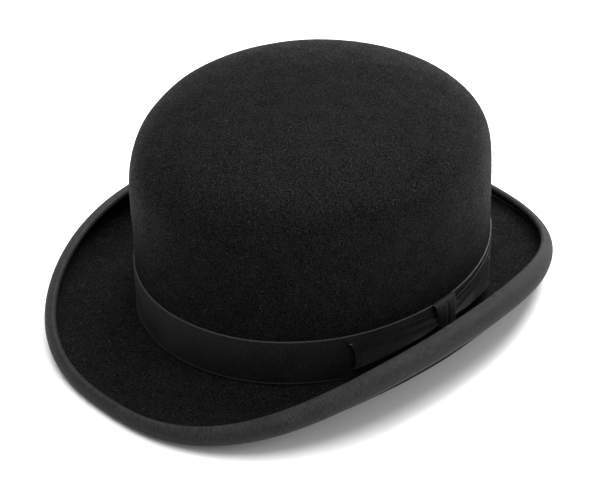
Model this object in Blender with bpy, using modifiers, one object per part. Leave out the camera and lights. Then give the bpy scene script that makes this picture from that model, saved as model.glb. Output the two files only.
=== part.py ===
"""Bowler hat: a stiff felt body with a curled, ribbon-bound brim, a hat band with a
flat bow, and the sweatband and satin lining inside the crown.

Metres, +Z up. The front of the hat faces -Y and the wearer's left is +X, the side of
the bow. The origin is the centre of the hat's box, on the surface it rests on. Angles
round the hat start at the front and run towards the wearer's left.
"""
import math

import bpy
import numpy as np

# The felt body
FELT = 0.0022
CROWN_HALF_LENGTH = 0.104
CROWN_HALF_WIDTH = 0.0888
CROWN_TOP = 0.127
WALL_TOP = 0.068  # the crown's wall is upright below this height
FRONT_ROUNDING = 3.7  # a higher number squares the dome's shoulders
SIDE_ROUNDING = 5.4
CROWN_Y = 0.0088  # the front brim is longer than the rear one
CROWN_LEAN = -0.0043  # how far the dome's top leans to the front
BREAK_HEIGHT = 0.0072  # where the crown turns into the brim
BREAK_TILT = 0.0012
BREAK_RADIUS = 0.0018
BRIM_HALF_LENGTH = 0.1429
BRIM_HALF_WIDTH = 0.1075
BRIM_SQUARENESS = 2.42
EDGE_FRONT = 0.0070  # the brim edge's height at the front and the rear
EDGE_SIDE = 0.0333
RISE_START = 2.5
RISE_END = 1.94
ROLL_FRONT = math.radians(143)  # how far the edge has turned up and over
ROLL_SIDE = math.radians(173)
ROLL_START = 1.92
ROLL_END = 1.62
SLOPE_FRONT = math.radians(1)  # the brim's slope where its curl starts
SLOPE_SIDE = math.radians(49.5)
CURL_FRONT = 0.0023  # the radius of the curl on the upper face
CURL_SIDE = 0.0057
CURL_START = 0.6  # the share of a section's parameter where the curl starts
FLAT_FRONT = 0.35  # how far out the sweep of the brim stays level
FLAT_SIDE = 0.46
PULL = 0.3
DROP = 0.002

# Ribbons and threads
GAP = 0.0003
RIBBON = 0.0005
BINDING_WIDTH = 0.0131  # on the outer face of the curl
BINDING_INSIDE = 0.0045  # its narrow leg, tucked inside the curl
INSIDE_LINE = 3
EDGE_LINES = 4
BAND_WIDTH = 0.0275
BAND_LIFT = 0.0012
THREAD = 0.0005
THREAD_INSET = 0.0016

# The bow, by angles round the hat
BOW_FRONT = math.radians(54)
BOW_REAR = math.radians(128)
KNOT_FRONT = math.radians(88)
KNOT_REAR = math.radians(98.5)
WAIST_HEIGHT = 0.0175
WAIST_THICKNESS = 0.0018
WING_THICKNESS = 0.0012
TACK_INSET = 0.035  # in radians

# Inside the crown
LEATHER = 0.0009
LINING = 0.0004
SWEATBAND_HEIGHT = 0.052
SWEATBAND_STEP = 0.018  # the leather stands further off the felt above this
SWEATBAND_JOINT = 0.0012
REED_RADIUS = 0.0008
REED_TAPE_HEIGHT = 0.010
LINING_START = 0.016
LINING_SEAM = 4  # the tip panel ends at this row of the dome
SEAM_OPENING = 0.0008
LABEL_WIDTH = 0.024
LABEL_HEIGHT = 0.014

# Columns run closer together where the curled sides rise, between the front and the side.
COLUMNS = 64
EVEN = np.linspace(0.0, 2 * math.pi, COLUMNS, endpoint=False)
ROUND = EVEN + 0.3 * np.sin(4 * EVEN) / 4
DOME_LEVELS = WALL_TOP + (CROWN_TOP - WALL_TOP) * np.sin(np.radians(np.arange(80, -1, -10)))
SMALL = 1e-5


# The shape of the hat


def crown_point(angle, height):
    """Points on the outside of the crown, at these angles and heights."""
    rise = np.clip((height - WALL_TOP) / (CROWN_TOP - WALL_TOP), 0, 1 - 1e-7)
    half_width = CROWN_HALF_WIDTH * np.sqrt(1 - rise**SIDE_ROUNDING)
    half_length = CROWN_HALF_LENGTH * np.sqrt(1 - rise**FRONT_ROUNDING)
    radius = 1 / np.hypot(np.sin(angle) / half_width, np.cos(angle) / half_length)
    middle = CROWN_Y + CROWN_LEAN * (height / CROWN_TOP) ** 2
    x = radius * np.sin(angle)
    y = middle - radius * np.cos(angle)
    return np.stack([x, y, height + 0 * angle], axis=-1)


def break_height(angle):
    """The height of the upper face of the brim where it meets the crown."""
    return BREAK_HEIGHT + BREAK_TILT * np.cos(angle)


def towards_side(angle, start, end):
    """0 at the front and the rear, and 1 along the curled sides."""
    return 1 - (1 - np.abs(np.sin(angle)) ** start) ** end


def between(front, side, share):
    return front + (side - front) * share


def brim_edge(angle):
    """The line where the brim's upper face ends."""
    side = (np.abs(np.sin(angle)) / BRIM_HALF_WIDTH) ** BRIM_SQUARENESS
    front = (np.abs(np.cos(angle)) / BRIM_HALF_LENGTH) ** BRIM_SQUARENESS
    radius = (side + front) ** (-1 / BRIM_SQUARENESS)
    height = between(EDGE_FRONT, EDGE_SIDE, towards_side(angle, RISE_START, RISE_END))
    return np.stack([radius * np.sin(angle), -radius * np.cos(angle), height], axis=-1)


def brim_point(angle, along):
    """Points on the brim's upper face, from along 0 at the break to 1 at the edge.

    Each section leaves the crown level, dips and rises, and ends in a round curl.
    """
    start = crown_point(angle, break_height(angle))
    end = brim_edge(angle)
    run = end - start
    run[..., 2] = 0
    width = np.linalg.norm(run, axis=-1, keepdims=True)
    out = run / width
    up = np.array([0.0, 0.0, 1.0])
    start = start + BREAK_RADIUS * out
    side = towards_side(angle, ROLL_START, ROLL_END)[..., None]
    roll = between(ROLL_FRONT, ROLL_SIDE, side)
    slope = between(SLOPE_FRONT, SLOPE_SIDE, side)
    radius = between(CURL_FRONT, CURL_SIDE, side)
    t = np.asarray(along)[..., None]
    turn = slope + (roll - slope) * np.clip((t - CURL_START) / (1 - CURL_START), 0, 1)
    across = radius * (np.sin(turn) - np.sin(roll))
    curl = end + across * out + radius * (np.cos(roll) - np.cos(turn)) * up
    across = radius * (np.sin(slope) - np.sin(roll))
    curl_foot = end + across * out + radius * (np.cos(roll) - np.cos(slope)) * up
    near_break = start + width * between(FLAT_FRONT, FLAT_SIDE, side) * out - DROP * up
    near_curl = curl_foot - width * PULL * (np.cos(slope) * out + np.sin(slope) * up)
    s = np.minimum(t / CURL_START, 1)
    u = 1 - s
    sweep = u**3 * start + 3 * u * u * s * near_break + 3 * u * s * s * near_curl + s**3 * curl_foot
    return np.where(t < CURL_START, sweep, curl)


def lifted(surface, first, second, offset):
    """Points on a surface of two values, moved off it along its normal."""
    point = surface(first, second)
    across = surface(first + SMALL, second) - surface(first - SMALL, second)
    along = surface(first, second + SMALL) - surface(first, second - SMALL)
    normal = np.cross(across, along)
    normal /= np.linalg.norm(normal, axis=-1, keepdims=True)
    return point + np.asarray(offset)[..., None] * normal


def on_crown(angle, height, offset):
    return lifted(crown_point, angle, height, offset)


def on_brim(angle, along, offset):
    return lifted(brim_point, angle, along, -np.asarray(offset))


def from_edge(angle, distance, depth=0.0):
    """How far along the brim a line lies that runs this far in from its edge, on this face."""
    steps = np.linspace(0, 1, 81)
    ones = np.ones_like(angle)
    points = np.array([on_brim(angle, ones * s, -depth * ones) for s in steps])
    lengths = np.linalg.norm(np.diff(points, axis=0), axis=-1)
    to_edge = np.vstack([np.cumsum(lengths[::-1], axis=0)[::-1], 0 * ones])
    found = [np.interp(-distance, -to_edge[:, i], steps) for i in range(len(angle))]
    return np.array(found)


def binding_lines():
    """Lines along the brim, from the binding's selvage on the outer face of the curl to the
    edge. The binding's leg inside the curl starts at the one numbered INSIDE_LINE."""
    outer = from_edge(ROUND, BINDING_WIDTH, FELT)
    inner = from_edge(ROUND, BINDING_INSIDE)
    lines = [outer + (inner - outer) * k / INSIDE_LINE for k in range(INSIDE_LINE)]
    return lines + [inner + (1 - inner) * share for share in np.linspace(0, 1, EDGE_LINES)]


def outwards_at_edge(angle):
    """The direction that leaves the brim's edge, square to the edge."""
    edge = np.ones_like(angle)
    round_it = brim_point(angle + SMALL, edge) - brim_point(angle - SMALL, edge)
    across = on_brim(angle, edge, edge) - on_brim(angle, edge, 0 * edge)
    out = np.cross(round_it, across)
    return out / np.linalg.norm(out, axis=-1, keepdims=True)


# Making objects


def clear_scene():
    for item in list(bpy.data.objects):
        bpy.data.objects.remove(item, do_unlink=True)


def make_material(name, colour, roughness, sheen=0.0):
    material = bpy.data.materials.new(name)
    material.use_nodes = True
    shader = material.node_tree.nodes["Principled BSDF"]
    shader.inputs["Base Color"].default_value = (*colour, 1)
    shader.inputs["Roughness"].default_value = roughness
    shader.inputs["Sheen Weight"].default_value = sheen
    return material


def grid_faces(rows, columns, closed_rows=False, closed_columns=True, mirrored_from=None):
    """Triangles over a grid. From the row mirrored_from on, the diagonals run the other way."""
    faces = []
    for row in range(rows if closed_rows else rows - 1):
        below = (row + 1) % rows
        mirrored = mirrored_from is not None and row >= mirrored_from
        for column in range(columns if closed_columns else columns - 1):
            beside = (column + 1) % columns
            corners = [
                row * columns + column,
                below * columns + column,
                below * columns + beside,
                row * columns + beside,
            ]
            if mirrored:
                corners = corners[1:] + corners[:1]
            a, b, c, d = corners
            faces += [(a, b, c), (a, c, d)]
    return faces


def add_object(name, points, faces, material):
    mesh = bpy.data.meshes.new(name)
    mesh.from_pydata([tuple(p) for p in points], [], faces)
    mesh.materials.append(material)
    mesh.shade_smooth()
    mesh.set_sharp_from_angle(angle=math.radians(40))
    item = bpy.data.objects.new(name, mesh)
    hat.objects.link(item)
    return item


def thicken(item, thickness, outwards):
    modifier = item.modifiers.new("thickness", "SOLIDIFY")
    modifier.thickness = thickness
    modifier.offset = 1.0 if outwards else -1.0
    modifier.use_even_offset = True


def add_shell(name, rows, thickness, outwards, material, **grid_options):
    """A sheet through rows of points, thickened to one side."""
    grid = np.array(rows)
    faces = grid_faces(grid.shape[0], grid.shape[1], **grid_options)
    item = add_object(name, grid.reshape(-1, 3), faces, material)
    thicken(item, thickness, outwards)
    return item


def add_ring(name, rows, material):
    """A closed ring, such as a thread, whose section is a loop of rows."""
    grid = np.array(rows)
    faces = grid_faces(grid.shape[0], grid.shape[1], closed_rows=True)
    return add_object(name, grid.reshape(-1, 3), faces, material)


def add_slab(name, outer, inner, material):
    """A solid between two grids of points, closed round its rim."""
    outer, inner = np.array(outer), np.array(inner)
    rows, columns = outer.shape[:2]
    count = rows * columns
    faces = grid_faces(rows, columns, closed_columns=False)
    faces += [tuple(i + count for i in reversed(face)) for face in faces]
    top = list(range(columns))
    right = [row * columns + columns - 1 for row in range(1, rows)]
    bottom = [(rows - 1) * columns + column for column in range(columns - 2, -1, -1)]
    left = [row * columns for row in range(rows - 2, 0, -1)]
    rim = top + right + bottom + left
    for i, here in enumerate(rim):
        there = rim[(i + 1) % len(rim)]
        faces.append((here, there, there + count, here + count))
    points = np.concatenate([outer.reshape(-1, 3), inner.reshape(-1, 3)])
    return add_object(name, points, faces, material)


# The pieces


def make_felt_body(material):
    """Crown and brim in one piece of felt: its outer face, thickened inwards."""
    foot = break_height(ROUND) + BREAK_RADIUS
    rows = [crown_point(ROUND, np.full(COLUMNS, level)) for level in DOME_LEVELS]
    rows += [crown_point(ROUND, WALL_TOP + (foot - WALL_TOP) * step) for step in (0.5, 1)]
    start = crown_point(ROUND, break_height(ROUND))
    corner = brim_point(ROUND, np.zeros(COLUMNS)) - start
    for turn in np.radians([30, 60]):
        lift = np.array([0, 0, BREAK_RADIUS * (1 - math.sin(turn))])
        rows.append(start + corner * (1 - math.cos(turn)) + lift)
    lines = binding_lines()
    for step in np.linspace(0, 1, 6)[:-1]:
        rows.append(brim_point(ROUND, lines[0] * step))
    rows += [brim_point(ROUND, along) for along in lines]
    points = np.concatenate([np.concatenate(rows), [[0, CROWN_Y + CROWN_LEAN, CROWN_TOP]]])
    faces = grid_faces(len(rows), COLUMNS)
    apex = len(points) - 1
    faces += [(apex, column, (column + 1) % COLUMNS) for column in range(COLUMNS)]
    body = add_object("felt_body", points, faces, material)
    thicken(body, FELT, outwards=False)


def make_brim_binding(material):
    """Ribbon folded over the brim's edge, pressed flat where the hat rests."""
    lines = binding_lines()
    rows = [on_brim(ROUND, along, np.full(COLUMNS, GAP)) for along in lines[INSIDE_LINE:-1]]
    edge = np.ones(COLUMNS)
    middle = on_brim(ROUND, edge, -FELT / 2 * edge)
    out = outwards_at_edge(ROUND)
    up = on_brim(ROUND, edge, edge) - on_brim(ROUND, edge, 0 * edge)
    radius = FELT / 2 + GAP
    for turn in np.radians([0, 45, 90, 135, 180]):
        rows.append(middle + radius * (math.cos(turn) * up + math.sin(turn) * out))
    for along in lines[-2::-1]:
        rows.append(on_brim(ROUND, along, np.full(COLUMNS, -FELT - GAP)))
    under = len(rows) - len(lines)
    binding = add_shell("brim_binding", rows, RIBBON, True, material, mirrored_from=under)
    bpy.ops.mesh.primitive_cube_add(size=1, location=(0, 0, -0.005))
    floor = bpy.context.object
    floor.name = "rest_plane_cutter"
    floor.scale = (0.4, 0.4, 0.01)
    floor.hide_render = True
    floor.display_type = "WIRE"
    for owner in list(floor.users_collection):
        owner.objects.unlink(floor)
    cutters.objects.link(floor)
    cut = binding.modifiers.new("flat where it rests", "BOOLEAN")
    cut.operation = "DIFFERENCE"
    cut.object = floor


def make_binding_thread(material):
    """The seam thread on the binding's leg inside the curl."""
    rows = []
    low = GAP + RIBBON + GAP
    for inset, offset in ((0, 0), (THREAD / 2, THREAD), (THREAD, 0)):
        along = from_edge(ROUND, BINDING_INSIDE - THREAD_INSET - inset)
        rows.append(on_brim(ROUND, along, np.full(COLUMNS, low + offset)))
    add_ring("binding_thread", rows, material)


def make_hat_band(material):
    low = break_height(ROUND) + BAND_LIFT
    rows = [on_crown(ROUND, low + BAND_WIDTH * share, np.full(COLUMNS, GAP)) for share in (1, 0)]
    add_shell("hat_band", rows, RIBBON, True, material)


def bow_height(angle):
    """The height of the bow ribbon: full at its ends, and gathered under the knot."""
    middle = (KNOT_FRONT + KNOT_REAR) / 2
    half = (BOW_REAR - BOW_FRONT) / 2
    share = np.clip(np.abs(angle - middle) / half, 0, 1)
    return WAIST_HEIGHT + (BAND_WIDTH - WAIST_HEIGHT) * np.clip(share * 1.25 - 0.2, 0, 1)


def make_bow_ribbon(material):
    """The two wings, joined by the gathered waist that runs through the knot."""
    columns = np.unique(np.concatenate([
        np.linspace(BOW_FRONT, KNOT_FRONT, 8),
        np.linspace(KNOT_FRONT, KNOT_REAR, 4),
        np.linspace(KNOT_REAR, BOW_REAR, 8),
    ]).round(6))
    centre = break_height(columns) + BAND_LIFT + BAND_WIDTH / 2
    height = bow_height(columns)
    gather = np.clip(1 - (height - WAIST_HEIGHT) / (BAND_WIDTH - WAIST_HEIGHT), 0, 1)
    under = GAP + RIBBON + GAP + RIBBON + GAP
    outer, inner = [], []
    for share in np.linspace(0.5, -0.5, 7):
        level = centre + height * share
        crowned = 1 - (2 * share) ** 2
        thick = WING_THICKNESS + (WAIST_THICKNESS - WING_THICKNESS) * gather * crowned
        inner.append(on_crown(columns, level, np.full(len(columns), under)))
        outer.append(on_crown(columns, level, under + thick))
    add_slab("bow_ribbon", outer, inner, material)


def make_bow_knot(material):
    """A ribbon loop that wraps the bow's waist."""
    columns = np.linspace(KNOT_FRONT, KNOT_REAR, 5)
    centre = break_height(columns) + BAND_LIFT + BAND_WIDTH / 2
    back = GAP + RIBBON + GAP + RIBBON
    front = back + GAP + WAIST_THICKNESS + GAP
    half = WAIST_HEIGHT / 2 + GAP + 0.0012
    rows = []
    for level, offset in ((0.8, front), (0, front), (-0.8, front), (-1, front - 0.0009),
                          (-1, back), (0, back), (1, back), (1, front - 0.0009)):
        rows.append(on_crown(columns, centre + half * level, np.full(len(columns), offset)))
    add_shell("bow_knot", rows, RIBBON, True, material, closed_rows=True, closed_columns=False)


def make_patch(name, middle_angle, middle_height, width, height, low, thick, material, rows=3, columns=5):
    """A small flat piece that follows the crown's wall, from offset low."""
    reach = crown_point(np.array([middle_angle]), np.array([middle_height]))[0]
    radius = math.hypot(reach[0], reach[1] - CROWN_Y)
    angles = middle_angle + np.linspace(-0.5, 0.5, columns) * width / radius
    levels = middle_height + np.linspace(0.5, -0.5, rows) * height
    face = [on_crown(angles, np.full(columns, level), np.full(columns, low + thick)) for level in levels]
    back = [on_crown(angles, np.full(columns, level), np.full(columns, low)) for level in levels]
    return add_slab(name, face, back, material)


def make_bow_tacks(material):
    """The stitch that holds each wing's end to the hat band."""
    low = 4 * GAP + 2 * RIBBON + WING_THICKNESS
    for name, angle in (("bow_tack_front", BOW_FRONT + TACK_INSET), ("bow_tack_rear", BOW_REAR - TACK_INSET)):
        foot = float(break_height(np.array([angle]))[0])
        level = foot + BAND_LIFT + BAND_WIDTH * 0.84
        make_patch(name, angle, level, 0.0024, 0.0006, low, THREAD, material, 2, 2)


def sweatband_offset(above):
    """How far the leather's outer side stands in from the felt's outside."""
    step = np.clip((above - REED_TAPE_HEIGHT) / (SWEATBAND_STEP - REED_TAPE_HEIGHT), 0, 1)
    near = FELT + GAP + LINING + GAP
    return near + step * (LINING + GAP)


def make_sweatband(material):
    """The leather band, whose ends meet at the rear."""
    half_slit = SWEATBAND_JOINT / 2 / CROWN_HALF_LENGTH
    columns = np.linspace(math.pi + half_slit, 3 * math.pi - half_slit, COLUMNS + 1)
    rows = []
    halfway = (SWEATBAND_HEIGHT + SWEATBAND_STEP) / 2
    for above in (SWEATBAND_HEIGHT, halfway, SWEATBAND_STEP, REED_TAPE_HEIGHT, 0):
        level = break_height(columns) + above
        rows.append(on_crown(columns, level, np.full(len(columns), -sweatband_offset(above))))
    add_shell("sweatband", rows, LEATHER, False, material, closed_columns=False)


def make_sweatband_reed(material):
    """The springy cord along the leather's lower edge."""
    rows = []
    centre = -sweatband_offset(0) - LEATHER / 2
    for turn in np.linspace(0, 2 * math.pi, 5, endpoint=False):
        level = break_height(ROUND) - GAP - REED_RADIUS * (1 - math.cos(turn))
        rows.append(on_crown(ROUND, level, np.full(COLUMNS, centre + REED_RADIUS * math.sin(turn))))
    add_ring("sweatband_reed", rows, material)


def make_reed_tape(material):
    """The thin tape between the leather and the felt that is sewn to both."""
    rows = []
    for above in (REED_TAPE_HEIGHT - 0.001, 0.0005):
        level = break_height(ROUND) + above
        rows.append(on_crown(ROUND, level, np.full(COLUMNS, -FELT - GAP)))
    add_shell("reed_tape", rows, LINING, False, material)


def make_sweatband_thread(material):
    """The row of stitching that holds the leather, on its face near the reed."""
    low = -sweatband_offset(0) - LEATHER - GAP
    rows = []
    for level, offset in ((0.0044, low), (0.0047, low - THREAD), (0.0050, low)):
        rows.append(on_crown(ROUND, break_height(ROUND) + level, np.full(COLUMNS, offset)))
    add_ring("sweatband_thread", rows, material)


def make_lining(material):
    """The side panel and the oval tip panel."""
    low = break_height(ROUND) + LINING_START
    offset = np.full(COLUMNS, -FELT - GAP)
    seam = DOME_LEVELS[LINING_SEAM]
    rows = [on_crown(ROUND, np.full(COLUMNS, level), offset) for level in DOME_LEVELS[LINING_SEAM:]]
    rows += [on_crown(ROUND, level, offset) for level in ((WALL_TOP + low) / 2, low)]
    add_shell("lining_side", rows, LINING, False, material)
    levels = [*DOME_LEVELS[:LINING_SEAM], seam + SEAM_OPENING]
    rings = [on_crown(ROUND, np.full(COLUMNS, level), offset) for level in levels]
    apex = [[0, CROWN_Y + CROWN_LEAN, CROWN_TOP - FELT - GAP]]
    points = np.concatenate([np.concatenate(rings), apex])
    faces = grid_faces(len(rings), COLUMNS)
    last = len(points) - 1
    faces += [(last, column, (column + 1) % COLUMNS) for column in range(COLUMNS)]
    tip = add_object("lining_tip", points, faces, material)
    thicken(tip, LINING, outwards=False)


def make_sweatband_trim(ribbon, paper):
    """The tape behind the rear joint, the small bow over it, and the size label."""
    rear = math.pi
    foot = BREAK_HEIGHT - BREAK_TILT
    behind = -(FELT + GAP + LINING + GAP + LINING)
    make_patch("sweatband_joint_tape", rear, foot + 0.035, 0.014, 0.026, behind, LINING * 0.9, ribbon)
    face = -float(sweatband_offset(SWEATBAND_STEP)) - LEATHER - GAP
    columns = 9
    across = np.linspace(-1, 1, columns)
    angles = rear + across * 0.015 / CROWN_HALF_LENGTH
    half = 0.0018 + 0.0030 * np.abs(across) ** 0.8
    thick = 0.0018 - 0.0008 * np.abs(across)
    middle = foot + 0.0128
    outer = [on_crown(angles, middle + half * share, np.full(columns, face)) for share in (1, 0, -1)]
    inner = [on_crown(angles, middle + half * share, face - thick) for share in (1, 0, -1)]
    add_slab("sweatband_bow", outer, inner, ribbon)
    label_angle = rear - 0.42
    make_patch("size_label", label_angle, foot + 0.032, LABEL_WIDTH, LABEL_HEIGHT, face - 0.0002, 0.0002, paper)


clear_scene()
hat = bpy.data.collections.new("bowler_hat")
cutters = bpy.data.collections.new("cutters")
bpy.context.scene.collection.children.link(hat)
bpy.context.scene.collection.children.link(cutters)

felt = make_material("felt", (0.010, 0.010, 0.011), 0.95, 0.3)
grosgrain = make_material("grosgrain", (0.022, 0.022, 0.025), 0.6, 0.1)
black_thread = make_material("thread", (0.015, 0.015, 0.016), 0.6)
leather = make_material("leather", (0.20, 0.085, 0.035), 0.5)
satin = make_material("satin", (0.55, 0.53, 0.50), 0.35, 0.3)
reed_plastic = make_material("reed", (0.65, 0.60, 0.48), 0.4)
cotton = make_material("tape", (0.12, 0.10, 0.08), 0.8)
paper = make_material("label", (0.75, 0.73, 0.68), 0.7)

make_felt_body(felt)
make_brim_binding(grosgrain)
make_binding_thread(black_thread)
make_hat_band(grosgrain)
make_bow_ribbon(grosgrain)
make_bow_knot(grosgrain)
make_bow_tacks(black_thread)
make_sweatband(leather)
make_sweatband_reed(reed_plastic)
make_reed_tape(cotton)
make_sweatband_thread(black_thread)
make_lining(satin)
make_sweatband_trim(grosgrain, paper)
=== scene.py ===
"""The looks of the bowler hat: fine meshes, materials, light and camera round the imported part.

Metres, +Z up. The front of the hat faces -Y and the bow is on +X. Angles round the hat
start at the front and run towards +X. The hat's form repeats the part's own functions.
"""

import functools
import math

import bpy
import numpy as np
from mathutils import Matrix, Vector


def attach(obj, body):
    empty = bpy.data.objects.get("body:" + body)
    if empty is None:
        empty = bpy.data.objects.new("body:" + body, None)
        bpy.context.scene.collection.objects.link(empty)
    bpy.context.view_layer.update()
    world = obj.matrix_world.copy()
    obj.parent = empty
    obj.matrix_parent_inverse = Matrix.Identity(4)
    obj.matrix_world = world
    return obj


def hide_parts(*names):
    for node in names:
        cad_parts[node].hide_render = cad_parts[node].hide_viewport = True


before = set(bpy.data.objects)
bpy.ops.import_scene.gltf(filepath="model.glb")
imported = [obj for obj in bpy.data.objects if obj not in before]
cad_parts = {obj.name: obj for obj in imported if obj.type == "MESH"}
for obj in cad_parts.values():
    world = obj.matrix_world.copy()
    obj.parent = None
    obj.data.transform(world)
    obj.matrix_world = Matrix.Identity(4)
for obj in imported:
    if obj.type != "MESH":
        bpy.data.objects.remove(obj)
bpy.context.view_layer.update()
random = np.random.default_rng(7)

# The felt body, as in the part
FELT = 0.0022
CROWN_HALF_LENGTH = 0.104
CROWN_HALF_WIDTH = 0.0888
CROWN_TOP = 0.127
WALL_TOP = 0.068
FRONT_ROUNDING = 3.7
SIDE_ROUNDING = 5.4
CROWN_Y = 0.0088
CROWN_LEAN = -0.0043
BREAK_HEIGHT = 0.0072
BREAK_TILT = 0.0012
BREAK_RADIUS = 0.0018
BRIM_HALF_LENGTH = 0.1429
BRIM_HALF_WIDTH = 0.1075
BRIM_SQUARENESS = 2.42
EDGE_FRONT = 0.0070
EDGE_SIDE = 0.0333
RISE_START = 2.5
RISE_END = 1.94
ROLL_FRONT = math.radians(143)
ROLL_SIDE = math.radians(173)
ROLL_START = 1.92
ROLL_END = 1.62
SLOPE_FRONT = math.radians(1)
SLOPE_SIDE = math.radians(49.5)
CURL_FRONT = 0.0023
CURL_SIDE = 0.0057
CURL_START = 0.6
FLAT_FRONT = 0.35
FLAT_SIDE = 0.46
PULL = 0.3
DROP = 0.002

# Ribbons, leather and linings, as in the part
GAP = 0.0003
RIBBON = 0.0005
BINDING_WIDTH = 0.0131
BINDING_INSIDE = 0.0045
BAND_WIDTH = 0.0275
BAND_LIFT = 0.0012
BOW_FRONT = math.radians(54)
BOW_REAR = math.radians(128)
KNOT_FRONT = math.radians(88)
KNOT_REAR = math.radians(98.5)
TACK_INSET = 0.035
LEATHER = 0.0009
LINING = 0.0004
SWEATBAND_HEIGHT = 0.052
SWEATBAND_STEP = 0.018
SEAM_HEIGHT = 0.0047  # of the stitches over the sweatband's lower edge
REED_RADIUS = 0.0008
REED_TAPE_HEIGHT = 0.010
LINING_START = 0.016
LINING_SEAM_TURN = 40  # where the side panel meets the tip, in degrees up the dome
JOINT_TAPE_WIDTH = 0.014
REAR_BOW_HALF_WIDTH = 0.015
LABEL_WIDTH = 0.024
LABEL_HEIGHT = 0.014
LABEL_TURN = 0.42  # round from the rear
LABEL_LIFT = 0.032

# Fine detail of the visible surfaces
RIB_PITCH = 0.00076
RIB_DEPTH = 0.00013
RIB_SCALE = 2 * math.pi / 20 / (RIB_PITCH * 1000)  # the wave texture runs 20 units to a turn
RIB_PROFILE = np.array([0.0, 0.78, 1.0, 0.78])  # heights across one rib
SELVAGE = 0.0006  # the smooth edge of a ribbon, given a painted highlight in the grosgrain material
STITCH_INSET = 0.0013  # from the binding's selvage to its stitches
HAIRS = 20000
SMALL = 1e-5
FULL_TURN = 2 * math.pi


# The shape of the hat


def crown_point(angle, height):
    """Points on the outside of the crown, at these angles and heights."""
    rise = np.clip((height - WALL_TOP) / (CROWN_TOP - WALL_TOP), 0, 1 - 1e-7)
    half_width = CROWN_HALF_WIDTH * np.sqrt(1 - rise**SIDE_ROUNDING)
    half_length = CROWN_HALF_LENGTH * np.sqrt(1 - rise**FRONT_ROUNDING)
    radius = 1 / np.hypot(np.sin(angle) / half_width, np.cos(angle) / half_length)
    middle = CROWN_Y + CROWN_LEAN * (height / CROWN_TOP) ** 2
    x = radius * np.sin(angle)
    y = middle - radius * np.cos(angle)
    return np.stack([x, y, height + 0 * angle], axis=-1)


def break_height(angle):
    """The height of the upper face of the brim where it meets the crown."""
    return BREAK_HEIGHT + BREAK_TILT * np.cos(angle)


def towards_side(angle, start, end):
    """0 at the front and the rear, and 1 along the curled sides."""
    return 1 - (1 - np.abs(np.sin(angle)) ** start) ** end


def between(front, side, share):
    return front + (side - front) * share


def brim_edge(angle):
    """The line where the brim's upper face ends."""
    side = (np.abs(np.sin(angle)) / BRIM_HALF_WIDTH) ** BRIM_SQUARENESS
    front = (np.abs(np.cos(angle)) / BRIM_HALF_LENGTH) ** BRIM_SQUARENESS
    radius = (side + front) ** (-1 / BRIM_SQUARENESS)
    height = between(EDGE_FRONT, EDGE_SIDE, towards_side(angle, RISE_START, RISE_END))
    return np.stack([radius * np.sin(angle), -radius * np.cos(angle), height], axis=-1)


def brim_point(angle, along):
    """Points on the brim's upper face, from along 0 at the break to 1 at the edge.

    Each section leaves the crown level, dips and rises, and ends in a round curl.
    """
    start = crown_point(angle, break_height(angle))
    end = brim_edge(angle)
    run = end - start
    run[..., 2] = 0
    width = np.linalg.norm(run, axis=-1, keepdims=True)
    out = run / width
    up = np.array([0.0, 0.0, 1.0])
    start = start + BREAK_RADIUS * out
    side = towards_side(angle, ROLL_START, ROLL_END)[..., None]
    roll = between(ROLL_FRONT, ROLL_SIDE, side)
    slope = between(SLOPE_FRONT, SLOPE_SIDE, side)
    radius = between(CURL_FRONT, CURL_SIDE, side)
    t = np.asarray(along)[..., None]
    turn = slope + (roll - slope) * np.clip((t - CURL_START) / (1 - CURL_START), 0, 1)
    across = radius * (np.sin(turn) - np.sin(roll))
    curl = end + across * out + radius * (np.cos(roll) - np.cos(turn)) * up
    across = radius * (np.sin(slope) - np.sin(roll))
    curl_foot = end + across * out + radius * (np.cos(roll) - np.cos(slope)) * up
    near_break = start + width * between(FLAT_FRONT, FLAT_SIDE, side) * out - DROP * up
    near_curl = curl_foot - width * PULL * (np.cos(slope) * out + np.sin(slope) * up)
    s = np.minimum(t / CURL_START, 1)
    u = 1 - s
    sweep = u**3 * start + 3 * u * u * s * near_break + 3 * u * s * s * near_curl + s**3 * curl_foot
    return np.where(t < CURL_START, sweep, curl)


def lifted(surface, first, second, offset):
    """Points on a surface of two values, moved off it along its normal."""
    point = surface(first, second)
    across = surface(first + SMALL, second) - surface(first - SMALL, second)
    along = surface(first, second + SMALL) - surface(first, second - SMALL)
    normal = np.cross(across, along)
    normal /= np.linalg.norm(normal, axis=-1, keepdims=True)
    return point + np.asarray(offset)[..., None] * normal


def on_crown(angle, height, offset):
    return lifted(crown_point, angle, height + 0 * angle, offset + 0 * angle)


def on_brim(angle, along, offset):
    return lifted(brim_point, angle, along + 0 * angle, -(offset + 0 * angle))


TABLE_ANGLES = np.linspace(0, FULL_TURN, 721)


@functools.cache
def edge_distances(depth):
    """How far in from the edge the brim's face at this depth lies, for a table of sections."""
    steps = np.linspace(0, 1, 81)
    points = np.array([on_brim(TABLE_ANGLES, s, -depth) for s in steps])
    lengths = np.linalg.norm(np.diff(points, axis=0), axis=-1)
    return steps, np.vstack([np.cumsum(lengths[::-1], axis=0)[::-1], 0 * TABLE_ANGLES])


def along_at(angle, distance, depth=0.0):
    """How far along the brim a line lies that runs this far in from its edge, on this face."""
    steps, to_edge = edge_distances(depth)
    found = [np.interp(-distance, -to_edge[:, i], steps) for i in range(len(TABLE_ANGLES))]
    return np.interp(angle % FULL_TURN, TABLE_ANGLES, found)


def in_from_edge(angle, distance, depth=0.0):
    """The angle and share along the brim of points straight in from the edge at this angle."""
    ones = np.ones_like(angle)
    edge = on_brim(angle, ones, -depth)
    inner = on_brim(angle, along_at(angle, distance, depth), -depth)
    round_it = (brim_point(angle + SMALL, ones) - brim_point(angle - SMALL, ones)) / (2 * SMALL)
    turned = angle - ((inner - edge) * round_it).sum(-1) / (round_it**2).sum(-1)
    return turned, along_at(turned, distance, depth)


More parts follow.
